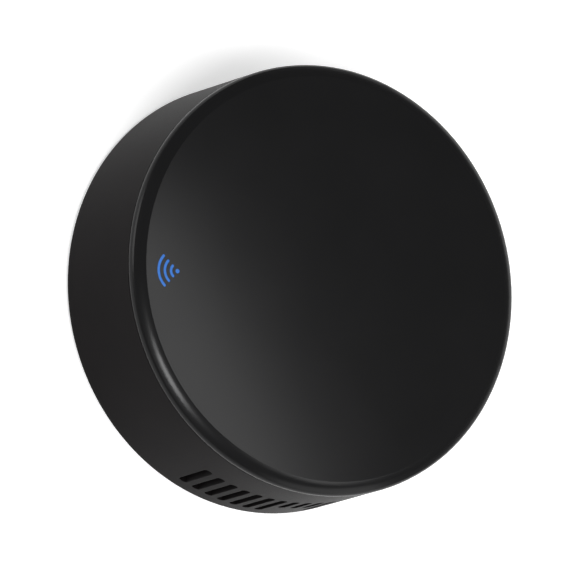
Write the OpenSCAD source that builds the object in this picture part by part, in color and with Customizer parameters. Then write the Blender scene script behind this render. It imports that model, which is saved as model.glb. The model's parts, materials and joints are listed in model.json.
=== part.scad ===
// Smart infrared blaster: a round puck that sends and learns remote-control codes
// and reads the temperature and humidity of the room. Sizes are in millimetres.
// It lies on its back: +Z is out of the face, the power inlet is at +X, the signal
// mark at -X and the vents at -Y. The origin is the middle of the foot ring's underside.

/* [Puck] */
// Diameter of the housing at its rear edge
puck_d = 68; // [66:1:80]
// Height from the rear edge to the face
puck_h = 22.2; // [21.2:0.1:27]
// Thickness of the side wall
wall_t = 1.8; // [1.4:0.1:2.2]
// How much smaller the radius is at the front of the wall than at the rear
wall_taper = 0.43; // [0.2:0.01:0.8]
// Rounding of the rear edge
rear_edge_r = 0.7; // [0.4:0.1:1]

/* [Front cover] */
// Thickness of the face
face_t = 2; // [1.6:0.1:2.6]
// Radius of the soft shoulder round the face
shoulder_r = 3.9; // [2.5:0.1:4.5]
// Slope of the shoulder at the edge of the face, where it leaves a fine crease
shoulder_start = 12; // [6:1:15]
// Slope of the shoulder where the tighter radius takes over
shoulder_end = 40; // [30:1:45]
// Tighter radius that takes the shoulder down to the side
edge_r = 1; // [0.6:0.1:1.4]
// Straight edge of the cover below the shoulder
rim_land = 0.2; // [0.1:0.05:0.5]
// Width of the fine seam between the cover and the wall
seam_w = 0.2; // [0.1:0.05:0.3]
// Depth of the seam
seam_depth = 0.3; // [0.2:0.05:0.5]
// Thickness of the skirt that locates the cover in the wall
skirt_t = 1.1; // [0.8:0.1:1.3]
// How far the skirt reaches below the seam
skirt_h = 2.6; // [1.5:0.1:3.5]
// Width of the key that stops the cover turning in the wall
key_w = 1.6; // [1:0.1:2.5]

/* [Signal mark] */
// Distance of the mark's dot from the edge of the puck
mark_inset = 7.8; // [7.5:0.1:9]
// Radius of the dot
mark_dot_r = 0.34; // [0.25:0.01:0.45]
// Centre-line radius of the smallest arc
mark_first_r = 1.1; // [0.9:0.05:1.2]
// Step from each arc to the next
mark_pitch = 1.05; // [0.9:0.05:1.1]
// Width of each arc's line
mark_stroke = 0.42; // [0.3:0.02:0.5]
// Half of the angle that each arc sweeps
mark_sweep = 45; // [35:1:50]
// Thickness of the cover over the head of the light guide
mark_skin = 1; // [0.8:0.1:1.2]
// Thickness of the light guide's head
guide_head_t = 2.2; // [1.8:0.1:3]
// Diameter of the light guide's stem
guide_stem_d = 3; // [2:0.1:3.4]

/* [Vents] */
// Number of slots, an odd number
vent_count = 17; // [13:2:17]
// Number of short slots in the middle, an odd number
vent_short_count = 3; // [1:2:5]
// Step from slot to slot, measured along X
vent_pitch = 2.16; // [1.9:0.01:2.3]
// How far the middle slot lies towards the power inlet's side
vent_shift = 0.5; // [0:0.1:1]
// Width of a slot
vent_w = 1.22; // [0.8:0.02:1.4]
// Distance of the slots' front ends from the rear edge
vent_top = 12.85; // [11:0.05:13.5]
// Length of a long slot
vent_long = 9.45; // [8:0.05:9.5]
// Length of a short slot
vent_short = 5.75; // [4:0.05:6]

/* [Base and foot] */
// Thickness of the rear cover
base_t = 1.8; // [1.4:0.1:2.2]
// Width of the ledge that the rear cover stops against
ledge_w = 0.8; // [0.6:0.1:1]
// Thickness of that ledge
ledge_t = 1.2; // [0.8:0.1:1.4]
// How far the foot ring stands proud of the rear cover
foot_proud = 0.8; // [0.5:0.1:1.2]
// Depth of the groove that the foot ring is glued into
foot_groove = 0.4; // [0.3:0.1:0.6]
// Outer diameter of the foot ring
foot_d = 46; // [40:1:46]
// Width of the foot ring
foot_w = 5; // [3:0.5:8]
// Height of the raised pads that the long bosses stand on
pad_h = 1.5; // [1:0.1:1.7]

/* [Screws] */
// Diameter of a screw's shank
screw_d = 1.8; // [1.5:0.1:2]
// Diameter of a screw's head
screw_head_d = 3.5; // [3:0.1:3.8]
// Height of a screw's head
screw_head_h = 1.1; // [0.9:0.1:1.3]
// Length of the screws that hold the rear cover
base_screw_l = 8; // [6:0.5:10]
// Length of the screws that hold the circuit board
board_screw_l = 5; // [4:0.5:6]
// Outer diameter of the long bosses
boss_d = 5; // [4.6:0.1:5.6]
// Outer diameter of the short posts that the circuit board hangs from
post_d = 4; // [3.6:0.1:4.4]

/* [Circuit board] */
// Thickness of the circuit board
board_t = 1.6; // [1:0.1:1.6]
// Space between the rear cover and the circuit board
board_gap = 2.4; // [2.2:0.1:3]
// Gap between the circuit board and the ledge around it
board_clear = 0.4; // [0.3:0.1:0.6]

/* [Infrared emitters] */
// Diameter of an emitter's lens
emitter_d = 3; // [2.6:0.1:3.4]
// Length of an emitter from its flange to its tip
emitter_l = 5.3; // [4.5:0.1:6.5]
// Diameter of an emitter's flange
emitter_flange_d = 3.8; // [3.6:0.1:4.2]
// Gap between the emitters' tips and the wall
emitter_gap = 0.6; // [0.4:0.1:1]
// Thickness of a lead
lead_w = 0.5; // [0.4:0.05:0.6]
// Distance between an emitter's two leads
lead_pitch = 2.54; // [2:0.02:2.6]

/* [Power inlet] */
// Width of the socket's metal shell
usb_w = 7.5; // [7:0.1:7.8]
// Height of the socket's metal shell
usb_h = 2.45; // [2.2:0.05:2.8]
// Length of the socket's metal shell
usb_l = 5.5; // [5:0.1:6]
// Thickness of the socket's sheet metal
usb_t = 0.25; // [0.2:0.05:0.35]
// How far the socket's mouth lies inside the surface of the wall
usb_sink = 0.3; // [0.2:0.1:0.6]
// Width of the port in the wall
port_w = 9.4; // [9:0.1:10]
// Height of the port in the wall
port_h = 3.8; // [3.6:0.1:4.2]

/* [Reset button] */
// Sideways distance from the middle of the power inlet to the button
button_offset = 9.6; // [9:0.1:10.4]
// Diameter of the button
button_d = 3.6; // [3:0.1:4]
// Clearance all round the button
button_clear = 0.2; // [0.1:0.05:0.3]
// How far the button stands out of the wall
button_proud = 0.35; // [0.3:0.05:0.5]
// Travel of the button
button_travel = 0.3; // [0.2:0.05:0.3]
// Diameter of the collar that keeps the button in
collar_d = 5.2; // [4.8:0.1:5.6]
// Thickness of that collar
collar_t = 0.8; // [0.6:0.1:1]

/* [Small parts] */
// Length of the wireless module
wifi_l = 17.3; // [16:0.1:20]
// Width of the wireless module
wifi_w = 15; // [14:0.1:16]
// Diameter of the capacitor's can
cap_d = 6.3; // [5:0.1:6.6]
// Height of the capacitor's can
cap_h = 4.8; // [4:0.1:5.6]
// Width of the infrared receiver
receiver_w = 6; // [5:0.1:6.2]
// Width of the humidity sensor
sensor_w = 2.5; // [2:0.1:3]

/* [Hidden] */
$fn = 96;

// How far a cutting shape runs past what it cuts
overrun = 1;

// Heights, from the table upwards
rear_z = foot_proud;
floor_z = rear_z + base_t;
ledge_z = floor_z;
board_z = floor_z + board_gap;
board_top = board_z + board_t;
face_z = rear_z + puck_h;
under_z = face_z - face_t;
shoulder_fall = shoulder_r * (cos(shoulder_start) - cos(shoulder_end));
shoulder_drop = shoulder_fall + edge_r * cos(shoulder_end);
part_z = face_z - shoulder_drop - rim_land - seam_w;
skirt_z = part_z - skirt_h;
pad_z = floor_z + pad_h;

// Radii
puck_r = puck_d / 2;
taper_z = rear_z + rear_edge_r;
function wall_r(z) = puck_r - wall_taper * (max(z, taper_z) - taper_z) / (part_z - taper_z);
function inner_r(z) = wall_r(z) - wall_t;
rim_r = wall_r(part_z);
shoulder_run = shoulder_r * (sin(shoulder_end) - sin(shoulder_start));
shoulder_w = shoulder_run + edge_r * (1 - sin(shoulder_end));
face_r = rim_r - shoulder_w;
skirt_gap = 0.15;
skirt_r = inner_r(part_z) - skirt_gap;
skirt_inner_r = skirt_r - skirt_t;
base_gap = 0.2;
base_r = inner_r(rear_z) - base_gap;
base_chamfer = 0.4;
board_r = inner_r(ledge_z) - ledge_w - board_clear;

// Places of what stands round the rim, as angles from the power inlet
emitter_angles = [34, 73, 107, 146, 214, 253, 287, 326];
boss_angles = [53.5, 126.5, 233.5, 306.5];
post_angles = [90, 197, 343];
key_angle = 165;

// Bosses, posts and their screws
screw_r = screw_d / 2;
screw_clear = 0.05;
pilot_r = screw_r + screw_clear;
hole_clear = 0.2;
clear_hole_r = screw_r + hole_clear;
head_clear = 0.35;
head_recess_r = screw_head_d / 2 + head_clear;
head_sink = 0.5;
head_z = rear_z + head_sink + screw_head_h;
pilot_spare = 0.8;
boss_r = boss_d / 2;
boss_draft = 0.3;
boss_inset = 7.3;
boss_ring_r = puck_r - boss_inset;
boss_notch_clear = 0.4;
post_r = post_d / 2;
post_draft = 0.3;
post_inset = 8;
post_ring_r = puck_r - post_inset;
rib_t = 1;
rib_h = 4;
pad_r = boss_r + head_clear;

// Emitters and their leads
emitter_r = emitter_d / 2;
emitter_flange_r = emitter_flange_d / 2;
emitter_flange_t = 1;
emitter_flat = 0.2;
emitter_lift = 0.2;
emitter_z = board_top + emitter_flange_r + emitter_lift;
emitter_tip_r = inner_r(emitter_z) - emitter_gap;
emitter_base_r = emitter_tip_r - emitter_l;
lead_run = 1.6;
lead_tail = 1;
lead_hole_r = lead_w / 2 + hole_clear;
lead_ring_r = emitter_base_r - lead_run;

// Signal mark, its light guide and the light under it
mark_arcs = 3;
mark_steps = 16;
cap_steps = 6;
mark_r = puck_r - mark_inset;
mark_gap = 0.02;
mark_recess = 0.03;
mark_reach = mark_first_r + (mark_arcs - 1) * mark_pitch + mark_stroke / 2;
guide_margin = 0.3;
guide_head_l = mark_reach + mark_dot_r + 2 * guide_margin;
guide_head_w = 2 * (mark_reach * sin(mark_sweep) + guide_margin);
guide_head_r = mark_r - mark_dot_r - guide_margin;
guide_frame_t = 0.8;
guide_top_z = face_z - mark_skin;
guide_head_z = guide_top_z - guide_head_t;
guide_fit = 0.05;
stem_r = guide_stem_d / 2;
stem_at_r = guide_head_r + guide_head_l / 2;
led_size = [2, 1.25, 0.8];
led_gap = 0.25;
frame_lip = 0.2;

// Power inlet
port_z = board_top + usb_h / 2;
usb_mouth_x = wall_r(port_z) - usb_sink;
usb_chamfer_y = 1.1;
usb_chamfer_z = 0.8;
tongue_w = 4.4;
tongue_t = 0.6;
tongue_back = 1.3;
tongue_sink = 0.7;
tongue_drop = 0.35;
contact_count = 5;
contact_pitch = 0.65;
contact_w = 0.3;
contact_t = 0.1;
contact_end_gap = 0.4;

// Reset button, its guide in the wall and the switch behind it
button_r = button_d / 2;
button_hole_r = button_r + button_clear;
button_edge_r = 0.3;
switch_size = [3.6, 4.5, 3.5];
button_z = board_top + switch_size[2] / 2;
button_angle = asin(button_offset / wall_r(button_z));
guide_boss_wall = 1.4;
guide_boss_r = collar_d / 2 + guide_boss_wall / 2;
guide_boss_stand = 0.3;
guide_face_x = sqrt(pow(inner_r(button_z), 2) - pow(guide_boss_r, 2)) - guide_boss_stand;
collar_gap = 0.1;
collar_x = guide_face_x - collar_gap - collar_t;
button_face_x = wall_r(button_z) + button_proud;
plunger_r = 1;
plunger_clear = 0.15;
plunger_out = 1.3;
plunger_in = 1.2;
switch_face_x = collar_x - plunger_out;
notch_clear = 0.4;
button_notch_x = switch_face_x + button_travel;

// Island of the circuit board that holds the humidity sensor
sensor_t = 0.9;
sensor_inset = 0.7;
island_w = 5;
island_l = 6;
island_slot = 1;

// Places on the board inside the ring of leads, each beside the one before
part_gap = 1.8;
module_edge_y = -1;
wifi_at = [0, module_edge_y + wifi_w / 2];

// Wireless module
wifi_board_t = 0.8;
shield_l = 11;
shield_h = 2.3;
shield_margin = 1.1;
shield_edge = 0.5;
pad_notch_r = 0.4;
pad_notch_count = 6;
pad_notch_pitch = 2;
trace_w = 0.5;
trace_t = 0.1;
trace_turns = 3;
trace_edge = 0.6;

// Receiver
receiver_l = 7;
receiver_body_h = 2.8;
receiver_dome_r = 2.2;
receiver_lead_pitch = 2.3;
receiver_lead_run = 1.2;
receiver_leads_z = 1.2;
receiver_at = [0, module_edge_y - part_gap - receiver_lead_run - receiver_l / 2];

// Capacitor
cap_base_t = 1;
cap_base_edge = 0.15;
cap_base_w = cap_d + 2 * cap_base_edge;
cap_corner = 1.2;
cap_groove_r = 0.3;
cap_groove_z = 1.1;
cap_top_r = 0.5;
cap_at = [-(receiver_w + cap_base_w) / 2 - part_gap, receiver_at[1]];

// Regulator, transistors and resistors
regulator_size = [3.5, 6.5, 1.6];
regulator_leg_pitch = 2.3;
regulator_leg_w = 0.7;
regulator_tab_w = 3;
regulator_reach = 1.6;
regulator_at = [(receiver_w + regulator_size[0]) / 2 + part_gap + regulator_reach, receiver_at[1]];
transistor_size = [1.3, 2.9, 1];
transistor_leg_pitch = 0.95;
transistor_leg_w = 0.4;
transistor_reach = 0.55;
transistor_y = receiver_at[1] - receiver_l / 2 - part_gap - transistor_size[1] / 2;
transistor_x = transistor_size[0] / 2 + transistor_reach + part_gap / 2;
transistor_places = [[-transistor_x, transistor_y], [transistor_x, transistor_y]];
leg_t = 0.25;
leg_drop_share = 0.5;
resistor_size = [2, 1.25, 0.5];
resistor_pitch = 2.2;
resistor_x = wifi_l / 2 + part_gap + resistor_size[0] / 2;
switch_leg_w = 0.7;
switch_leg_reach = 0.6;

// Colours
shell_black = [0.1, 0.1, 0.11];
rubber_grey = [0.17, 0.17, 0.18];
board_colour = [0.05, 0.1, 0.08];
steel = [0.72, 0.73, 0.75];
tin = [0.8, 0.8, 0.8];
gold = [0.85, 0.68, 0.3];
mark_blue = [0.25, 0.5, 0.88];
chip_black = [0.12, 0.12, 0.13];
lens_tint = [0.35, 0.37, 0.55];
cream = [0.88, 0.86, 0.78];

// Puts a piece at an angle round the puck, facing outwards
module around(angle, radius, z) {
  rotate([0, 0, angle])
    translate([radius, 0, z])
      children();
}

// Puts a piece at a place on the circuit board
module on_board(place, z = board_top) {
  translate([place[0], place[1], z])
    children();
}

// A block that is centred on X and Y and stands on its place
module block(size) {
  translate([-size[0] / 2, -size[1] / 2, 0])
    cube(size);
}

// A slot with round ends, standing up, from its low end to its high end
module slot_outline(width, length) {
  translate([-width / 2, width / 2])
    square([width, length - width]);
  translate([0, width / 2])
    circle(d = width);
  translate([0, length - width / 2])
    circle(d = width);
}

function arc_points(r, from, to, steps, centre = [0, 0]) =
  [for (i = [0 : steps])
    let (a = from + (to - from) * i / steps)
    centre + r * [cos(a), sin(a)]];

// The part of a disc that lies outside its chord from one angle to another
module arc_cap(centre, r, from, to) {
  middle = (from + to) / 2;
  start = centre + r * [cos(from), sin(from)];
  end = centre + r * [cos(to), sin(to)];
  out = r * [cos(middle), sin(middle)];
  intersection() {
    translate(centre)
      circle(r = r);
    polygon([start, start + out, end + out, end]);
  }
}

// Half section of the cover: face, soft shoulder, straight edge, seat on the wall and skirt
module cover_outline() {
  big = [face_r, face_z] - shoulder_r * [sin(shoulder_start), cos(shoulder_start)];
  turn = 90 - shoulder_end;
  small = big + (shoulder_r - edge_r) * [cos(turn), sin(turn)];
  meet = small + edge_r * [cos(turn), sin(turn)];
  polygon([
    [0, under_z], [skirt_inner_r, under_z], [skirt_inner_r, skirt_z], [skirt_r, skirt_z],
    [skirt_r, part_z], [rim_r - seam_depth, part_z], [rim_r - seam_depth, part_z + seam_w],
    [rim_r, part_z + seam_w], [rim_r, small[1]], meet, [face_r, face_z], [0, face_z]
  ]);
  arc_cap(big, shoulder_r, turn, 90 - shoulder_start);
  arc_cap(small, edge_r, 0, turn);
}

// The signal mark's arcs, each drawn as one line with round ends
module mark_outline(grow) {
  half = mark_stroke / 2 + grow;
  translate([-mark_r, 0]) {
    circle(r = mark_dot_r + grow);
    for (i = [0 : mark_arcs - 1]) {
      r = mark_first_r + i * mark_pitch;
      low = 180 - mark_sweep;
      high = 180 + mark_sweep;
      polygon(concat(
        arc_points(r + half, low, high, mark_steps),
        arc_points(half, high, high + 180, cap_steps, r * [cos(high), sin(high)]),
        arc_points(r - half, high, low, mark_steps),
        arc_points(half, low + 180, low + 360, cap_steps, r * [cos(low), sin(low)])
      ));
    }
  }
}

module guide_head(grow, height) {
  translate([-guide_head_r - guide_head_l - grow, -guide_head_w / 2 - grow, 0])
    cube([guide_head_l + 2 * grow, guide_head_w + 2 * grow, height]);
}

module front_cover() {
  color(shell_black)
  difference() {
    union() {
      rotate_extrude()
        cover_outline();
      for (a = boss_angles) {
        around(a, boss_ring_r, pad_z)
          cylinder(r1 = boss_r, r2 = boss_r + boss_draft, h = under_z - pad_z + overrun / 2);
        rotate([0, 0, a])
          translate([boss_ring_r, -rib_t / 2, under_z - rib_h])
            cube([skirt_inner_r + skirt_t / 2 - boss_ring_r, rib_t, rib_h + overrun / 2]);
      }
      for (a = post_angles)
        around(a, post_ring_r, board_top)
          cylinder(r1 = post_r, r2 = post_r + post_draft, h = under_z - board_top + overrun / 2);
      intersection() {
        translate([0, 0, guide_head_z + frame_lip])
          guide_head(guide_fit + guide_frame_t, under_z - guide_head_z);
        translate([0, 0, skirt_z])
          cylinder(r = skirt_r - skirt_t / 2, h = face_z - skirt_z - mark_skin / 2);
      }
    }
    for (a = boss_angles)
      around(a, boss_ring_r, pad_z - overrun)
        cylinder(r = pilot_r, h = overrun + base_screw_l + head_z - pad_z + pilot_spare);
    for (a = post_angles)
      around(a, post_ring_r, board_top - overrun)
        cylinder(r = pilot_r, h = overrun + board_screw_l - board_t + pilot_spare);
    translate([0, 0, guide_head_z - overrun])
      guide_head(guide_fit, guide_top_z - guide_head_z + overrun);
    translate([0, 0, guide_top_z - overrun / 2])
      linear_extrude(height = face_z - guide_top_z + overrun)
        mark_outline(mark_gap);
    rotate([0, 0, key_angle])
      translate([skirt_inner_r - overrun / 2, -key_w / 2 - skirt_gap, skirt_z - overrun])
        cube([skirt_t + overrun, key_w + 2 * skirt_gap, part_z - skirt_z + overrun]);
  }
}

// Section of the wall with its rear ledge
module wall_outline() {
  ledge_r = inner_r(ledge_z) - ledge_w;
  difference() {
    polygon([
      [puck_r, rear_z], [puck_r, taper_z], [rim_r, part_z], [rim_r - wall_t, part_z],
      [inner_r(ledge_z + ledge_t), ledge_z + ledge_t], [ledge_r, ledge_z + ledge_t],
      [ledge_r, ledge_z], [inner_r(ledge_z), ledge_z], [inner_r(rear_z), rear_z]
    ]);
    translate([puck_r - rear_edge_r, rear_z - overrun])
      square([rear_edge_r + overrun, rear_edge_r + overrun]);
  }
  intersection() {
    translate([puck_r - rear_edge_r, taper_z])
      circle(r = rear_edge_r);
    translate([puck_r - rear_edge_r, rear_z])
      square(rear_edge_r);
  }
}

// Straight slots, all drawn through the wall along Y as one side core would mould them
module vent_slots() {
  middle = (vent_count - 1) / 2;
  short_reach = (vent_short_count - 1) / 2;
  rotate([90, 0, 0])
    linear_extrude(height = puck_r + overrun)
      for (i = [0 : vent_count - 1]) {
        length = abs(i - middle) <= short_reach ? vent_short : vent_long;
        translate([vent_shift + (i - middle) * vent_pitch, rear_z + vent_top - length])
          slot_outline(vent_w, length);
      }
}

module body_shell() {
  color(shell_black)
  difference() {
    union() {
      rotate_extrude()
        wall_outline();
      around(button_angle, guide_face_x, button_z)
        rotate([0, 90, 0])
          cylinder(r = guide_boss_r, h = inner_r(button_z) + wall_t / 2 - guide_face_x);
      rotate([0, 0, key_angle])
        translate([skirt_inner_r, -key_w / 2, skirt_z])
          cube([skirt_t + wall_t / 2, key_w, part_z - skirt_z]);
    }
    vent_slots();
    translate([board_r - overrun, 0, port_z])
      rotate([90, 0, 90])
        linear_extrude(height = puck_r - board_r + 2 * overrun)
          rotate(-90)
            translate([0, -port_w / 2])
              slot_outline(port_h, port_w);
    around(button_angle, guide_face_x - overrun, button_z)
      rotate([0, 90, 0])
        cylinder(r = button_hole_r, h = puck_r - guide_face_x + 2 * overrun);
  }
}

module base_cover() {
  foot_r = foot_d / 2;
  color(shell_black)
  difference() {
    union() {
      rotate_extrude()
        polygon([
          [0, rear_z], [base_r - base_chamfer, rear_z], [base_r, rear_z + base_chamfer],
          [base_r, floor_z], [0, floor_z]
        ]);
      for (a = boss_angles)
        around(a, boss_ring_r, rear_z + base_t / 2)
          cylinder(r = pad_r, h = pad_z - rear_z - base_t / 2);
    }
    difference() {
      translate([0, 0, rear_z - overrun])
        cylinder(r = foot_r, h = overrun + foot_groove);
      translate([0, 0, rear_z - 2 * overrun])
        cylinder(r = foot_r - foot_w, h = 3 * overrun + foot_groove);
    }
    for (a = boss_angles) {
      around(a, boss_ring_r, rear_z - overrun)
        cylinder(r = head_recess_r, h = overrun + head_z - rear_z);
      around(a, boss_ring_r, rear_z)
        cylinder(r = clear_hole_r, h = pad_z - rear_z + overrun);
    }
  }
}

// Soft ring that the puck stands on
module foot_ring() {
  foot_r = foot_d / 2;
  color(rubber_grey)
  difference() {
    cylinder(r = foot_r, h = foot_proud + foot_groove);
    translate([0, 0, -overrun])
      cylinder(r = foot_r - foot_w, h = foot_proud + foot_groove + 2 * overrun);
  }
}

// Pan-head screw that points up, with its seat at z = 0 and a cross recess in its head
module screw(length) {
  recess_w = screw_r / 2;
  recess_depth = screw_head_h / 2;
  difference() {
    union() {
      cylinder(r = screw_r, h = length);
      translate([0, 0, -screw_head_h])
        cylinder(r1 = screw_head_d / 2 - screw_head_h / 3, r2 = screw_head_d / 2, h = screw_head_h);
    }
    for (turn = [0, 90])
      rotate([0, 0, turn])
        translate([-screw_r, -recess_w / 2, -screw_head_h - overrun])
          cube([screw_d, recess_w, recess_depth + overrun]);
  }
}

module base_screws() {
  color(steel)
  for (a = boss_angles)
    around(a, boss_ring_r, head_z)
      screw(base_screw_l);
}

module board_screws() {
  color(steel)
  for (a = post_angles)
    around(a, post_ring_r, board_z)
      screw(board_screw_l);
}

// Two open slots that leave the sensor's end of the board on an island of its own
module island_slots() {
  for (side = [-1, 1])
    translate([side * (island_w + island_slot) / 2 - island_slot / 2, -board_r - overrun, -overrun])
      cube([island_slot, island_l + overrun, board_t + 2 * overrun]);
}

module main_board() {
  notch_r = boss_r + boss_draft + boss_notch_clear;
  color(board_colour)
  translate([0, 0, board_z])
  difference() {
    cylinder(r = board_r, h = board_t);
    for (a = boss_angles) {
      around(a, boss_ring_r, -overrun)
        cylinder(r = notch_r, h = board_t + 2 * overrun);
      rotate([0, 0, a])
        translate([boss_ring_r, -notch_r, -overrun])
          cube([board_r, 2 * notch_r, board_t + 2 * overrun]);
    }
    for (a = post_angles)
      around(a, post_ring_r, -overrun)
        cylinder(r = clear_hole_r, h = board_t + 2 * overrun);
    for (a = emitter_angles, side = [-1, 1])
      rotate([0, 0, a])
        translate([lead_ring_r + lead_w / 2, side * lead_pitch / 2, -overrun])
          cylinder(r = lead_hole_r, h = board_t + 2 * overrun, $fn = 24);
    rotate([0, 0, button_angle])
      translate([button_notch_x, -collar_d / 2 - notch_clear, -overrun])
        cube([board_r, collar_d + 2 * notch_clear, board_t + 2 * overrun]);
    island_slots();
    for (i = [-1 : 1])
      translate([
        receiver_at[0] + i * receiver_lead_pitch,
        receiver_at[1] + receiver_l / 2 + receiver_lead_run - lead_w / 2, -overrun
      ])
        cylinder(r = lead_hole_r, h = board_t + 2 * overrun, $fn = 24);
  }
}

// Clear moulding that carries the light up to the mark, whose lines stand in the cover
module light_guide() {
  color(mark_blue) {
    translate([0, 0, guide_head_z])
      guide_head(0, guide_head_t);
    translate([0, 0, guide_top_z - mark_gap])
      linear_extrude(height = face_z - mark_recess - guide_top_z + mark_gap)
        mark_outline(0);
    translate([-stem_at_r, 0, board_top + led_size[2] + led_gap])
      cylinder(r = stem_r, h = guide_head_z + mark_gap - board_top - led_size[2] - led_gap);
  }
}

module status_led() {
  color(cream)
  translate([-stem_at_r, 0, board_top])
    block(led_size);
}

// Button cap with the collar behind the wall; it slides inwards along its axis
module reset_button() {
  length = button_face_x - collar_x;
  color(shell_black)
  around(button_angle, collar_x, button_z)
    rotate([0, 90, 0])
      rotate_extrude()
        union() {
          square([collar_d / 2, collar_t]);
          square([button_r - button_edge_r, length]);
          square([button_r, length - button_edge_r]);
          intersection() {
            translate([button_r - button_edge_r, length - button_edge_r])
              circle(r = button_edge_r, $fn = 32);
            translate([button_r - button_edge_r, length - button_edge_r])
              square(button_edge_r);
          }
        }
}

module switch_plunger() {
  color(cream)
  around(button_angle, switch_face_x - plunger_in, button_z)
    rotate([0, 90, 0])
      cylinder(r = plunger_r, h = plunger_in + plunger_out);
}

module button_switch() {
  bore_depth = plunger_in + button_travel + plunger_clear;
  color(chip_black)
  difference() {
    around(button_angle, switch_face_x - switch_size[0] / 2, board_top)
      block(switch_size);
    around(button_angle, switch_face_x - bore_depth, button_z)
      rotate([0, 90, 0])
        cylinder(r = plunger_r + plunger_clear, h = bore_depth + overrun);
  }
}

// Section of the socket's shell: flat top, and lower corners cut off
module usb_outline(inset) {
  half = usb_w / 2 - inset;
  top = usb_h - inset;
  polygon([
    [-half, top], [half, top], [half, usb_chamfer_z], [half - usb_chamfer_y, inset],
    [-half + usb_chamfer_y, inset], [-half, usb_chamfer_z]
  ]);
}

module along_x(x, length) {
  translate([x, 0, board_top])
    rotate([90, 0, 90])
      linear_extrude(height = length)
        children();
}

module usb_shell() {
  color(steel)
  difference() {
    along_x(usb_mouth_x - usb_l, usb_l)
      usb_outline(0);
    along_x(usb_mouth_x - usb_l + usb_t, usb_l)
      usb_outline(usb_t);
  }
}

module usb_tongue() {
  back_x = usb_mouth_x - usb_l + usb_t;
  tongue_z = board_top + usb_h - usb_t - tongue_drop - tongue_t;
  color(chip_black) {
    along_x(back_x, tongue_back)
      usb_outline(usb_t);
    translate([back_x, -tongue_w / 2, tongue_z])
      cube([usb_l - usb_t - tongue_sink, tongue_w, tongue_t]);
  }
}

module usb_contacts() {
  back_x = usb_mouth_x - usb_l + usb_t + tongue_back;
  tongue_z = board_top + usb_h - usb_t - tongue_drop - tongue_t;
  length = usb_l - usb_t - tongue_sink - tongue_back - contact_end_gap;
  color(gold)
  for (i = [0 : contact_count - 1])
    translate([
      back_x, (i - (contact_count - 1) / 2) * contact_pitch - contact_w / 2, tongue_z - contact_t
    ])
      cube([length, contact_w, contact_t]);
}

// Emitter lying on the board: flange at its back, round tip towards the wall
module ir_emitter(i) {
  color(lens_tint)
  around(emitter_angles[i - 1], emitter_base_r, emitter_z)
    difference() {
      rotate([0, 90, 0])
        rotate_extrude() {
          square([emitter_flange_r, emitter_flange_t]);
          square([emitter_r, emitter_l - emitter_r]);
          intersection() {
            translate([0, emitter_l - emitter_r])
              circle(r = emitter_r);
            translate([0, emitter_l - emitter_r])
              square(emitter_r);
          }
        }
      translate([-overrun, emitter_flange_r - emitter_flat, -emitter_flange_d])
        cube([emitter_l, emitter_flange_d, 2 * emitter_flange_d]);
    }
}

// Two bent leads for each emitter, through the board to short tails below it
module emitter_leads() {
  drop = emitter_z + lead_w / 2 - board_z + lead_tail;
  color(tin)
  for (a = emitter_angles, side = [-1, 1])
    rotate([0, 0, a])
      translate([lead_ring_r, side * lead_pitch / 2 - lead_w / 2, emitter_z - lead_w / 2]) {
        cube([lead_run, lead_w, lead_w]);
        translate([0, 0, lead_w - drop])
          cube([lead_w, lead_w, drop]);
      }
}

// Receiver lying on its back, with its dome towards the front cover
module ir_receiver() {
  color(chip_black)
  on_board(receiver_at) {
    block([receiver_w, receiver_l, receiver_body_h]);
    intersection() {
      translate([0, -receiver_l / 2 + receiver_w / 2, receiver_body_h])
        sphere(r = receiver_dome_r);
      translate([0, 0, receiver_body_h / 2])
        block([receiver_w, receiver_l, receiver_body_h + receiver_dome_r]);
    }
  }
}

module receiver_leads() {
  drop = receiver_leads_z + lead_w + board_t + lead_tail;
  color(tin)
  on_board(receiver_at)
    for (i = [-1 : 1])
      translate([i * receiver_lead_pitch - lead_w / 2, receiver_l / 2, receiver_leads_z]) {
        cube([lead_w, receiver_lead_run, lead_w]);
        translate([0, receiver_lead_run - lead_w, lead_w - drop])
          cube([lead_w, lead_w, drop]);
      }
}

// Module board with half-round solder pads along both long edges
module wifi_board() {
  color(board_colour)
  on_board(wifi_at)
    difference() {
      block([wifi_l, wifi_w, wifi_board_t]);
      for (i = [0 : pad_notch_count - 1], side = [-1, 1])
        translate([wifi_l / 2 - shield_margin - i * pad_notch_pitch, side * wifi_w / 2, -overrun])
          cylinder(r = pad_notch_r, h = wifi_board_t + 2 * overrun, $fn = 24);
    }
}

module wifi_shield() {
  size = [shield_l, wifi_w - 2 * shield_margin, shield_h];
  color(steel)
  on_board(wifi_at, board_top + wifi_board_t)
    translate([wifi_l / 2 - shield_l / 2 - shield_margin, 0, 0])
      difference() {
        block(size);
        for (side = [-1, 1])
          translate([0, side * size[1] / 2, size[2]])
            rotate([45, 0, 0])
              translate([-size[0] / 2 - overrun, -shield_edge / 2, -shield_edge / 2])
                cube([size[0] + 2 * overrun, shield_edge, shield_edge]);
      }
}

// Aerial track that runs to and fro across the free end of the module
module wifi_antenna() {
  free_l = wifi_l - shield_l - 2 * shield_margin;
  run = wifi_w - 2 * shield_margin;
  step = (free_l - trace_w) / trace_turns;
  color(gold)
  on_board(wifi_at, board_top + wifi_board_t)
    translate([-wifi_l / 2 + trace_edge, -run / 2, 0]) {
      for (i = [0 : trace_turns - 1]) {
        translate([i * step, 0, 0])
          cube([trace_w, run, trace_t]);
        if (i < trace_turns - 1)
          translate([i * step, i % 2 == 0 ? run - trace_w : 0, 0])
            cube([step + trace_w, trace_w, trace_t]);
      }
    }
}

module humidity_sensor() {
  color(chip_black)
  translate([0, -board_r + sensor_inset + sensor_w / 2, board_top])
    block([sensor_w, sensor_w, sensor_t]);
}

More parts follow.
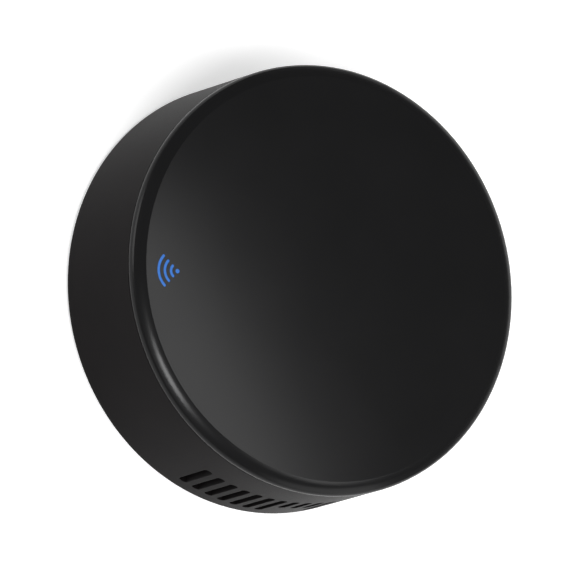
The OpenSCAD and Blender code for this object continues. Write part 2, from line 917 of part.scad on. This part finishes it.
// Can with a rolled groove near its foot and a rounded top edge
module bulk_capacitor() {
  cap_r = cap_d / 2;
  color(tin)
  on_board(cap_at, board_top + cap_base_t)
    rotate_extrude()
      difference() {
        union() {
          square([cap_r, cap_h - cap_top_r]);
          square([cap_r - cap_top_r, cap_h]);
          intersection() {
            translate([cap_r - cap_top_r, cap_h - cap_top_r])
              circle(r = cap_top_r);
            translate([cap_r - cap_top_r, cap_h - cap_top_r])
              square(cap_top_r);
          }
        }
        translate([cap_r, cap_groove_z])
          circle(r = cap_groove_r);
      }
}

module capacitor_base() {
  half = cap_base_w / 2;
  color(chip_black)
  on_board(cap_at)
    linear_extrude(height = cap_base_t)
      polygon([
        [-half, -half], [half - cap_corner, -half], [half, -half + cap_corner],
        [half, half - cap_corner], [half - cap_corner, half], [-half, half]
      ]);
}

module voltage_regulator() {
  color(chip_black)
  on_board(regulator_at)
    block(regulator_size);
}

module driver_transistors() {
  color(chip_black)
  for (place = transistor_places)
    on_board(place)
      block(transistor_size);
}

module chip_resistors() {
  color(chip_black)
  for (i = [0 : len(emitter_angles) / 2 - 1], side = [-1, 1])
    on_board([side * resistor_x, module_edge_y + (i + 1) * resistor_pitch])
      block(resistor_size);
}

// One flat leg that leaves a chip's side and stands on the board
module leg(width, reach, height) {
  translate([0, -width / 2, height - leg_t])
    cube([reach / 2, width, leg_t]);
  translate([reach / 2 - leg_t, -width / 2, 0])
    cube([leg_t, width, height]);
  translate([reach / 2 - leg_t, -width / 2, 0])
    cube([reach / 2 + leg_t, width, leg_t]);
}

module chip_legs() {
  regulator_leg_h = regulator_size[2] * leg_drop_share;
  transistor_leg_h = transistor_size[2] * leg_drop_share;
  color(tin) {
    on_board(regulator_at) {
      for (i = [-1 : 1])
        translate([regulator_size[0] / 2, i * regulator_leg_pitch, 0])
          leg(regulator_leg_w, regulator_reach, regulator_leg_h);
      mirror([1, 0, 0])
        translate([regulator_size[0] / 2, 0, 0])
          leg(regulator_tab_w, regulator_reach, regulator_leg_h);
    }
    for (place = transistor_places)
      on_board(place) {
        for (side = [-1, 1])
          translate([transistor_size[0] / 2, side * transistor_leg_pitch, 0])
            leg(transistor_leg_w, transistor_reach, transistor_leg_h);
        mirror([1, 0, 0])
          translate([transistor_size[0] / 2, 0, 0])
            leg(transistor_leg_w, transistor_reach, transistor_leg_h);
      }
    for (side = [-1, 1])
      around(button_angle, switch_face_x - switch_size[0] / 2, board_top)
        translate([0, side * switch_size[1] / 2, 0])
          rotate([0, 0, side * 90])
            leg(switch_leg_w, switch_leg_reach, switch_size[2] * leg_drop_share / 2);
  }
}

front_cover();
body_shell();
base_cover();
foot_ring();
base_screws();
board_screws();
main_board();
light_guide();
status_led();
reset_button();
switch_plunger();
button_switch();
usb_shell();
usb_tongue();
usb_contacts();
ir_emitter(1);  // ir_emitter_1
ir_emitter(2);  // ir_emitter_2
ir_emitter(3);  // ir_emitter_3
ir_emitter(4);  // ir_emitter_4
ir_emitter(5);  // ir_emitter_5
ir_emitter(6);  // ir_emitter_6
ir_emitter(7);  // ir_emitter_7
ir_emitter(8);  // ir_emitter_8
emitter_leads();
ir_receiver();
receiver_leads();
wifi_board();
wifi_shield();
wifi_antenna();
humidity_sensor();
bulk_capacitor();
capacitor_base();
voltage_regulator();
driver_transistors();
chip_resistors();
chip_legs();
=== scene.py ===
import json
import math

import bmesh
import bpy
from mathutils import Matrix, Vector


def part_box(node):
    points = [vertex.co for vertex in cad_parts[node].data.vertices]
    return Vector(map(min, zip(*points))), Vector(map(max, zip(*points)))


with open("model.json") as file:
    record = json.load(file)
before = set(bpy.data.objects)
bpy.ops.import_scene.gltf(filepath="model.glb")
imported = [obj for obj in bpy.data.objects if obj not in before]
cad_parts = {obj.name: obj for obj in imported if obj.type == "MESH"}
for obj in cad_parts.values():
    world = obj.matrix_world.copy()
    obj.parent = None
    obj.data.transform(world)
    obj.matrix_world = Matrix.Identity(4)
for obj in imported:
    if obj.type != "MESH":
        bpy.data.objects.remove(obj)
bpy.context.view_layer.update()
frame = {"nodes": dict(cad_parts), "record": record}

MM = 0.001

# Sizes of the puck, from the frame
shell_low, shell_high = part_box("body_shell")
puck_r = (shell_high[0] - shell_low[0]) / 2
rear_z = shell_low[2]
face_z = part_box("front_cover")[1][2]


# Camera

# The photograph's view: how far the camera stands off the face's axis, which way the face
# turns in the picture, how the part lies round its own axis, and where the middle falls
VIEW_TILT = math.radians(30.083)
VIEW_TURN = math.radians(16.78)
PART_SPIN = math.radians(2.3)
VIEW_DISTANCE = 25 * puck_r
VIEW_SHIFT_X = 0.01847 * puck_r
VIEW_SHIFT_Y = 0.00648 * puck_r
VIEW_CENTRE_Z = rear_z + 0.32647 * puck_r

# Focal length and frame in the photograph's pixels, and a sensor to give them in millimetres
FOCAL_PIXELS = 5468.8
FRAME_PIXELS = 580
SENSOR_MM = 36

# Nearest and farthest that the camera sees, in metres
CLIP_NEAR = 0.01
CLIP_FAR = 50


def camera_axes():
    """The camera's right, up and back directions in the part's frame."""
    normal = Vector((
        math.sin(VIEW_TILT) * math.cos(VIEW_TURN),
        math.sin(VIEW_TILT) * math.sin(VIEW_TURN),
        math.cos(VIEW_TILT),
    ))
    across = Vector((0, 1, 0)).cross(normal).normalized()
    along = normal.cross(across)
    part_x = math.cos(PART_SPIN) * across - math.sin(PART_SPIN) * along
    part_y = math.sin(PART_SPIN) * across + math.cos(PART_SPIN) * along
    return [Vector((part_x[i], part_y[i], normal[i])) for i in range(3)]


def make_camera():
    right, up, back = camera_axes()
    place = Vector((0, 0, VIEW_CENTRE_Z))
    place += back * VIEW_DISTANCE - right * VIEW_SHIFT_X - up * VIEW_SHIFT_Y
    data = bpy.data.cameras.new("photo_camera")
    data.sensor_width = SENSOR_MM
    data.sensor_height = SENSOR_MM
    data.lens = FOCAL_PIXELS / FRAME_PIXELS * SENSOR_MM
    data.clip_start = CLIP_NEAR
    data.clip_end = CLIP_FAR
    camera = bpy.data.objects.new("photo_camera", data)
    bpy.context.scene.collection.objects.link(camera)
    turn = Matrix((right, up, back)).transposed().to_4x4()
    camera.matrix_world = Matrix.Translation(place) @ turn
    bpy.context.scene.camera = camera


make_camera()


# Materials

WHITE = (1, 1, 1, 1)

# Cosine between the plain and the rounded normal where an edge's mask is full and where it ends
EDGE_FULL = 0.75
EDGE_NONE = 0.985
BEVEL_SAMPLES = 6

# Moulded plastic: sizes of its flow marks and scuffs, the least scuff along an edge, how much a
# scuff lightens the colour and dulls the gloss, and how far the grain moves the gloss
FLOW_CELL = 9 * MM
SCUFF_CELL = 0.6 * MM
SCUFF_LEAST = 0.25
SCUFF_LIGHTER = 0.004
SCUFF_DULLER = 0.1
PLASTIC_GLOSS = (0.9, 1.12)

# Metal: size of its clouds, how much brighter its edges are, and how far grain moves the gloss
CLOUD_CELL = 1.6 * MM
METAL_EDGE_GAIN = 1.18
METAL_GLOSS = (0.8, 1.25)

# Depths under the face where the mark's painted glow has faded and where it is still full, with the
# glow's strength and unevenness
MARK_FADED = 4 * MM
MARK_FULL = 0.8 * MM
MARK_GLOW_STRENGTH = 0.5
MARK_UNEVEN = (0.9, 1.06)


class Nodes:
    """A material's node tree, with short calls for what the materials below share."""

    def __init__(self, name):
        self.material = bpy.data.materials.new(name)
        self.material.use_nodes = True
        self.tree = self.material.node_tree
        self.shader = self.tree.nodes["Principled BSDF"]

    def node(self, kind, **settings):
        made = self.tree.nodes.new(kind)
        for key, value in settings.items():
            setattr(made, key, value)
        return made

    def link(self, start, end):
        self.tree.links.new(start, end)

    def put(self, value, socket):
        """Gives a socket a value, which may be another node's socket."""
        if isinstance(value, bpy.types.NodeSocket):
            self.link(value, socket)
        else:
            socket.default_value = value

    def place(self):
        """Object coordinates, in metres."""
        return self.node("ShaderNodeTexCoord").outputs["Object"]

    def noise(self, cell, detail=3.0, rough=0.55):
        """Soft noise whose blotches are about one cell across."""
        made = self.node("ShaderNodeTexNoise")
        made.inputs["Scale"].default_value = 1 / cell
        made.inputs["Detail"].default_value = detail
        made.inputs["Roughness"].default_value = rough
        self.link(self.place(), made.inputs["Vector"])
        return made.outputs["Fac"]

    def spread(self, source, low, high, start=0.3, end=0.7):
        """A value from low to high as the source goes from start to end."""
        made = self.node("ShaderNodeMapRange")
        made.inputs["From Min"].default_value = start
        made.inputs["From Max"].default_value = end
        made.inputs["To Min"].default_value = low
        made.inputs["To Max"].default_value = high
        self.link(source, made.inputs["Value"])
        return made.outputs["Result"]

    def mix(self, factor, first, second):
        """A colour between two others, the first a tuple or a socket and the second a tuple."""
        made = self.node("ShaderNodeMix", data_type="RGBA")
        self.link(factor, made.inputs[0])
        self.put(first if isinstance(first, bpy.types.NodeSocket) else (*first, 1), made.inputs[6])
        self.put((*second, 1), made.inputs[7])
        return made.outputs[2]

    def calc(self, operation, first, second, clamp=False):
        made = self.node("ShaderNodeMath", operation=operation, use_clamp=clamp)
        self.put(first, made.inputs[0])
        self.put(second, made.inputs[1])
        return made.outputs[0]

    def add(self, first, second, clamp=False):
        return self.calc("ADD", first, second, clamp)

    def times(self, first, second):
        return self.calc("MULTIPLY", first, second)

    def edges(self, radius):
        """1 along edges tighter than the radius, 0 on flat surfaces; also the rounded normal."""
        bevel = self.node("ShaderNodeBevel", samples=BEVEL_SAMPLES)
        bevel.inputs["Radius"].default_value = radius
        plain = self.node("ShaderNodeNewGeometry").outputs["Normal"]
        dot = self.node("ShaderNodeVectorMath", operation="DOT_PRODUCT")
        self.link(bevel.outputs[0], dot.inputs[0])
        self.link(plain, dot.inputs[1])
        mask = self.spread(dot.outputs["Value"], 1, 0, start=EDGE_FULL, end=EDGE_NONE)
        return mask, bevel.outputs[0]

    def bump(self, height, distance, normal=None):
        made = self.node("ShaderNodeBump")
        made.inputs["Distance"].default_value = distance
        made.inputs["Strength"].default_value = 1
        self.link(height, made.inputs["Height"])
        if normal is not None:
            self.link(normal, made.inputs["Normal"])
        self.link(made.outputs["Normal"], self.shader.inputs["Normal"])

    def set(self, **values):
        """Plain values on the shader's own sockets, named with _ for each space."""
        for key, value in values.items():
            self.shader.inputs[key.replace("_", " ")].default_value = value

    def to(self, source, socket):
        self.link(source, self.shader.inputs[socket])


def moulded(name, colour, tone, roughness, grain, depth, edge, edge_gain, spec=0.5, tint=(1, 1, 1)):
    """Moulded plastic: faint flow marks in its colour, fine grain in its gloss, and worn edges."""
    made = Nodes(name)
    flow = made.noise(FLOW_CELL, detail=2)
    fine = made.noise(grain, detail=4, rough=0.6)
    mask, rounded = made.edges(edge)
    scuffed = made.times(mask, made.spread(made.noise(SCUFF_CELL), SCUFF_LEAST, 1))
    body = made.mix(made.spread(flow, 0, 1), colour, tone)
    worn = tuple(min(1, c * edge_gain + SCUFF_LIGHTER) for c in colour)
    made.to(made.mix(scuffed, body, worn), "Base Color")
    gloss = made.spread(fine, *(roughness * share for share in PLASTIC_GLOSS))
    made.to(made.add(gloss, made.times(scuffed, SCUFF_DULLER)), "Roughness")
    made.set(IOR=1.5, Specular_IOR_Level=spec, Specular_Tint=(*tint, 1))
    made.bump(fine, depth, rounded)
    return made.material


def metal(name, colour, tone, roughness, grain, depth, edge):
    """Plated or drawn metal: cloudy tone, fine grain and brighter edges."""
    made = Nodes(name)
    cloud = made.noise(CLOUD_CELL)
    fine = made.noise(grain)
    mask, rounded = made.edges(edge)
    body = made.mix(made.spread(cloud, 0, 1), colour, tone)
    bright = tuple(min(1, c * METAL_EDGE_GAIN) for c in colour)
    made.to(made.mix(mask, body, bright), "Base Color")
    made.to(made.spread(fine, *(roughness * share for share in METAL_GLOSS)), "Roughness")
    made.set(Metallic=1.0)
    made.bump(fine, depth, rounded)
    return made.material


def front_gloss():
    """Polished black cover: nearly even gloss with the faintest orange peel and hazy edges."""
    made = Nodes("front_gloss")
    peel = made.noise(1.1 * MM, detail=1.5, rough=0.4)
    haze = made.noise(14 * MM, detail=2)
    mask, rounded = made.edges(0.05 * MM)
    body = made.mix(made.spread(haze, 0, 1), (0.0072, 0.0072, 0.0075), (0.0081, 0.008, 0.0084))
    made.to(made.mix(mask, body, (0.0095, 0.0095, 0.01)), "Base Color")
    gloss = made.spread(haze, 0.225, 0.24)
    made.to(made.add(gloss, made.times(mask, 0.03)), "Roughness")
    made.set(IOR=1.5, Specular_IOR_Level=0.16)
    made.bump(peel, 0.0006 * MM, rounded)
    return made.material


def mark_blue():
    """Clear blue moulding given a painted glow with no lamp behind it: bright at the face, dimmer
    further down.
    """
    made = Nodes("mark_blue")
    split = made.node("ShaderNodeSeparateXYZ")
    made.link(made.place(), split.inputs[0])
    lit = made.spread(split.outputs["Z"], 0.12, 1, start=face_z - MARK_FADED, end=face_z - MARK_FULL)
    uneven = made.spread(made.noise(0.5 * MM, detail=2), *MARK_UNEVEN)
    # Painted glow: the mark's colour and the light it gives out follow its depth under the face, and
    # no lamp lies behind it
    made.to(made.mix(lit, (0.01, 0.04, 0.1), (0.005, 0.025, 0.1)), "Base Color")
    made.to(made.times(made.times(lit, uneven), MARK_GLOW_STRENGTH), "Emission Strength")
    made.to(made.spread(uneven, 0.22, 0.34, start=MARK_UNEVEN[0], end=MARK_UNEVEN[1]), "Roughness")
    made.set(IOR=1.49, Specular_IOR_Level=0.16, Emission_Color=(0.055, 0.3, 1.0, 1))
    return made.material


def board_laminate():
    """Solder mask over a woven glass board: a faint weave and copper areas under the colour."""
    made = Nodes("board_laminate")
    weave = made.node("ShaderNodeTexChecker")
    weave.inputs["Scale"].default_value = 1 / (0.45 * MM)
    weave.inputs["Color1"].default_value = (0.35, 0.35, 0.35, 1)
    weave.inputs["Color2"].default_value = (0.65, 0.65, 0.65, 1)
    made.link(made.place(), weave.inputs["Vector"])
    copper = made.spread(made.noise(5 * MM, detail=0), 0, 1, start=0.49, end=0.51)
    mask, rounded = made.edges(0.08 * MM)
    body = made.mix(copper, (0.006, 0.018, 0.013), (0.009, 0.03, 0.02))
    made.to(made.mix(mask, body, (0.13, 0.12, 0.07)), "Base Color")
    made.to(made.spread(made.noise(0.25 * MM), 0.26, 0.42), "Roughness")
    made.set(IOR=1.52)
    made.bump(made.add(copper, weave.outputs["Fac"]), 0.01 * MM, rounded)
    return made.material


def emitter_lens():
    """Tinted clear epoxy."""
    made = Nodes("emitter_lens")
    cloud = made.noise(0.9 * MM, detail=2)
    made.to(made.mix(made.spread(cloud, 0, 1), (0.16, 0.16, 0.34), (0.2, 0.19, 0.4)), "Base Color")
    made.to(made.spread(cloud, 0.06, 0.16), "Roughness")
    made.set(IOR=1.54, Transmission_Weight=0.55)
    made.bump(cloud, 0.004 * MM)
    return made.material


# Plastics that moulded() makes, with colour and second tone
PLASTICS = {
    "shell_satin": dict(
        colour=(0.0052, 0.0045, 0.0047), tone=(0.0062, 0.0053, 0.0055), roughness=0.4,
        grain=0.16 * MM, depth=0.004 * MM, edge=0.12 * MM, edge_gain=1.9,
        spec=0.02, tint=(1, 0.93, 0.95)),
    "soft_rubber": dict(
        colour=(0.022, 0.022, 0.023), tone=(0.03, 0.03, 0.031), roughness=0.72,
        grain=0.3 * MM, depth=0.02 * MM, edge=0.15 * MM, edge_gain=1.5, spec=0.35),
    "cream_plastic": dict(
        colour=(0.7, 0.67, 0.56), tone=(0.75, 0.72, 0.62), roughness=0.45,
        grain=0.1 * MM, depth=0.004 * MM, edge=0.06 * MM, edge_gain=1.05),
    "chip_black": dict(
        colour=(0.016, 0.016, 0.017), tone=(0.022, 0.022, 0.023), roughness=0.55,
        grain=0.06 * MM, depth=0.006 * MM, edge=0.05 * MM, edge_gain=1.8),
}

# Metals that metal() makes, with colour and second tone
METALS = {
    "screw_steel": dict(
        colour=(0.42, 0.42, 0.43), tone=(0.5, 0.5, 0.5), roughness=0.34,
        grain=0.2 * MM, depth=0.004 * MM, edge=0.06 * MM),
    "sheet_steel": dict(
        colour=(0.6, 0.6, 0.61), tone=(0.68, 0.68, 0.68), roughness=0.28,
        grain=0.15 * MM, depth=0.003 * MM, edge=0.05 * MM),
    "contact_gold": dict(
        colour=(0.78, 0.55, 0.2), tone=(0.86, 0.63, 0.27), roughness=0.22,
        grain=0.1 * MM, depth=0.002 * MM, edge=0.03 * MM),
    "tinned_lead": dict(
        colour=(0.6, 0.6, 0.6), tone=(0.7, 0.7, 0.69), roughness=0.32,
        grain=0.12 * MM, depth=0.004 * MM, edge=0.04 * MM),
    "can_aluminium": dict(
        colour=(0.66, 0.66, 0.67), tone=(0.74, 0.74, 0.74), roughness=0.26,
        grain=0.1 * MM, depth=0.003 * MM, edge=0.08 * MM),
}

MATERIALS = {
    "front_gloss": front_gloss(),
    "mark_blue": mark_blue(),
    "board_laminate": board_laminate(),
    "emitter_lens": emitter_lens(),
}
for slot, values in PLASTICS.items():
    MATERIALS[slot] = moulded(slot, **values)
for slot, values in METALS.items():
    MATERIALS[slot] = metal(slot, **values)

# The record names the material of each node of the part
for part in frame["record"]["subparts"]:
    mesh = frame["nodes"][part["node"]].data
    mesh.materials.clear()
    mesh.materials.append(MATERIALS[part["material_slot"]])


# Floor, lamps and surroundings

# The floor lies a little under the part, so that the two don't share a plane. The light that
# it shows to the camera and to mirrors goes from near to far at these distances.
FLOOR_R = 6.0
FLOOR_DROP = 0.02 * MM
FLOOR_COLOUR = (0.88, 0.88, 0.88, 1)
GLOW_NEAR, GLOW_NEAR_R = 0.5, 0.1
GLOW_FAR, GLOW_FAR_R = 1.0, 0.6

# Strength of the surroundings up to one height of their unit sphere, and from a second one on
HORIZON, HORIZON_Z = 1.0, 0.03
SKY, SKY_Z = 0.2, 0.14

LAMP_AIM = Vector((0, 0, 0.5 * (rear_z + face_z)))

# Place beside the lower left of the face that the strip light aims at
STRIP_AIM = Vector((-0.745 * puck_r, -0.9 * puck_r, face_z))

# Name, aim, azimuth, elevation, distance, width, height and radiance of each soft box
LAMPS = (
    ("key_box", LAMP_AIM, 223, 62, 0.9, 0.24, 0.24, 22.0),
    ("right_box", LAMP_AIM, 325, 58, 0.9, 0.28, 0.28, 6.0),
    ("near_strip", STRIP_AIM, 27, 59.6, 0.125, 0.07, 0.02, 6.2),
    ("left_side_box", LAMP_AIM, 156, 16, 1.0, 0.5, 0.5, 4.0),
    ("right_side_box", LAMP_AIM, 298, 22, 1.0, 0.6, 0.5, 2.0),
)


def floor_white():
    """Matt pale floor that the camera, mirrors and glass see as white, and that keeps shadows."""
    paint = Nodes("floor_white")
    paint.set(Base_Color=FLOOR_COLOUR, Roughness=0.9, Specular_IOR_Level=0.1, Emission_Color=WHITE)
    paths = paint.node("ShaderNodeLightPath")
    seen = paint.add(paths.outputs["Is Camera Ray"], paths.outputs["Is Glossy Ray"])
    seen = paint.add(seen, paths.outputs["Is Transmission Ray"], clamp=True)
    length = paint.node("ShaderNodeVectorMath", operation="LENGTH")
    paint.link(paint.place(), length.inputs[0])
    out = length.outputs["Value"]
    glow = paint.spread(out, GLOW_NEAR, GLOW_FAR, start=GLOW_NEAR_R, end=GLOW_FAR_R)
    paint.to(paint.times(seen, glow), "Emission Strength")
    return paint.material


def make_floor():
    mesh = bpy.data.meshes.new("floor")
    made = bmesh.new()
    bmesh.ops.create_circle(made, cap_ends=True, segments=96, radius=FLOOR_R)
    made.to_mesh(mesh)
    made.free()
    mesh.materials.append(floor_white())
    floor = bpy.data.objects.new("floor", mesh)
    floor.location.z = -FLOOR_DROP
    bpy.context.scene.collection.objects.link(floor)


def soft_box(name, aim, azimuth, elevation, distance, width, height, radiance):
    """A square-on lamp that stands round its aim at two angles, as bright as its radiance."""
    data = bpy.data.lights.new(name, "AREA")
    data.shape = "RECTANGLE"
    data.size = width
    data.size_y = height
    data.energy = radiance * math.pi * width * height
    lamp = bpy.data.objects.new(name, data)
    turn = math.radians(azimuth)
    rise = math.radians(elevation)
    flat = math.cos(rise)
    out = Vector((math.cos(turn) * flat, math.sin(turn) * flat, math.sin(rise)))
    lamp.location = aim + distance * out
    lamp.rotation_euler = (-out).to_track_quat("-Z", "Y").to_euler()
    lamp.visible_camera = False
    bpy.context.scene.collection.objects.link(lamp)


def make_world():
    """White round the horizon and dimmer overhead."""
    world = bpy.data.worlds.new("studio")
    bpy.context.scene.world = world
    world.use_nodes = True
    tree = world.node_tree
    background = tree.nodes["Background"]
    place = tree.nodes.new("ShaderNodeTexCoord")
    split = tree.nodes.new("ShaderNodeSeparateXYZ")
    tree.links.new(place.outputs["Generated"], split.inputs[0])
    rise = tree.nodes.new("ShaderNodeMapRange")
    rise.interpolation_type = "SMOOTHSTEP"
    rise.inputs["From Min"].default_value = HORIZON_Z
    rise.inputs["From Max"].default_value = SKY_Z
    rise.inputs["To Min"].default_value = HORIZON
    rise.inputs["To Max"].default_value = SKY
    tree.links.new(split.outputs["Z"], rise.inputs["Value"])
    tree.links.new(rise.outputs["Result"], background.inputs["Strength"])
    background.inputs["Color"].default_value = WHITE


make_floor()
make_world()
for lamp_values in LAMPS:
    soft_box(*lamp_values)
bpy.context.scene.view_settings.view_transform = "Standard"
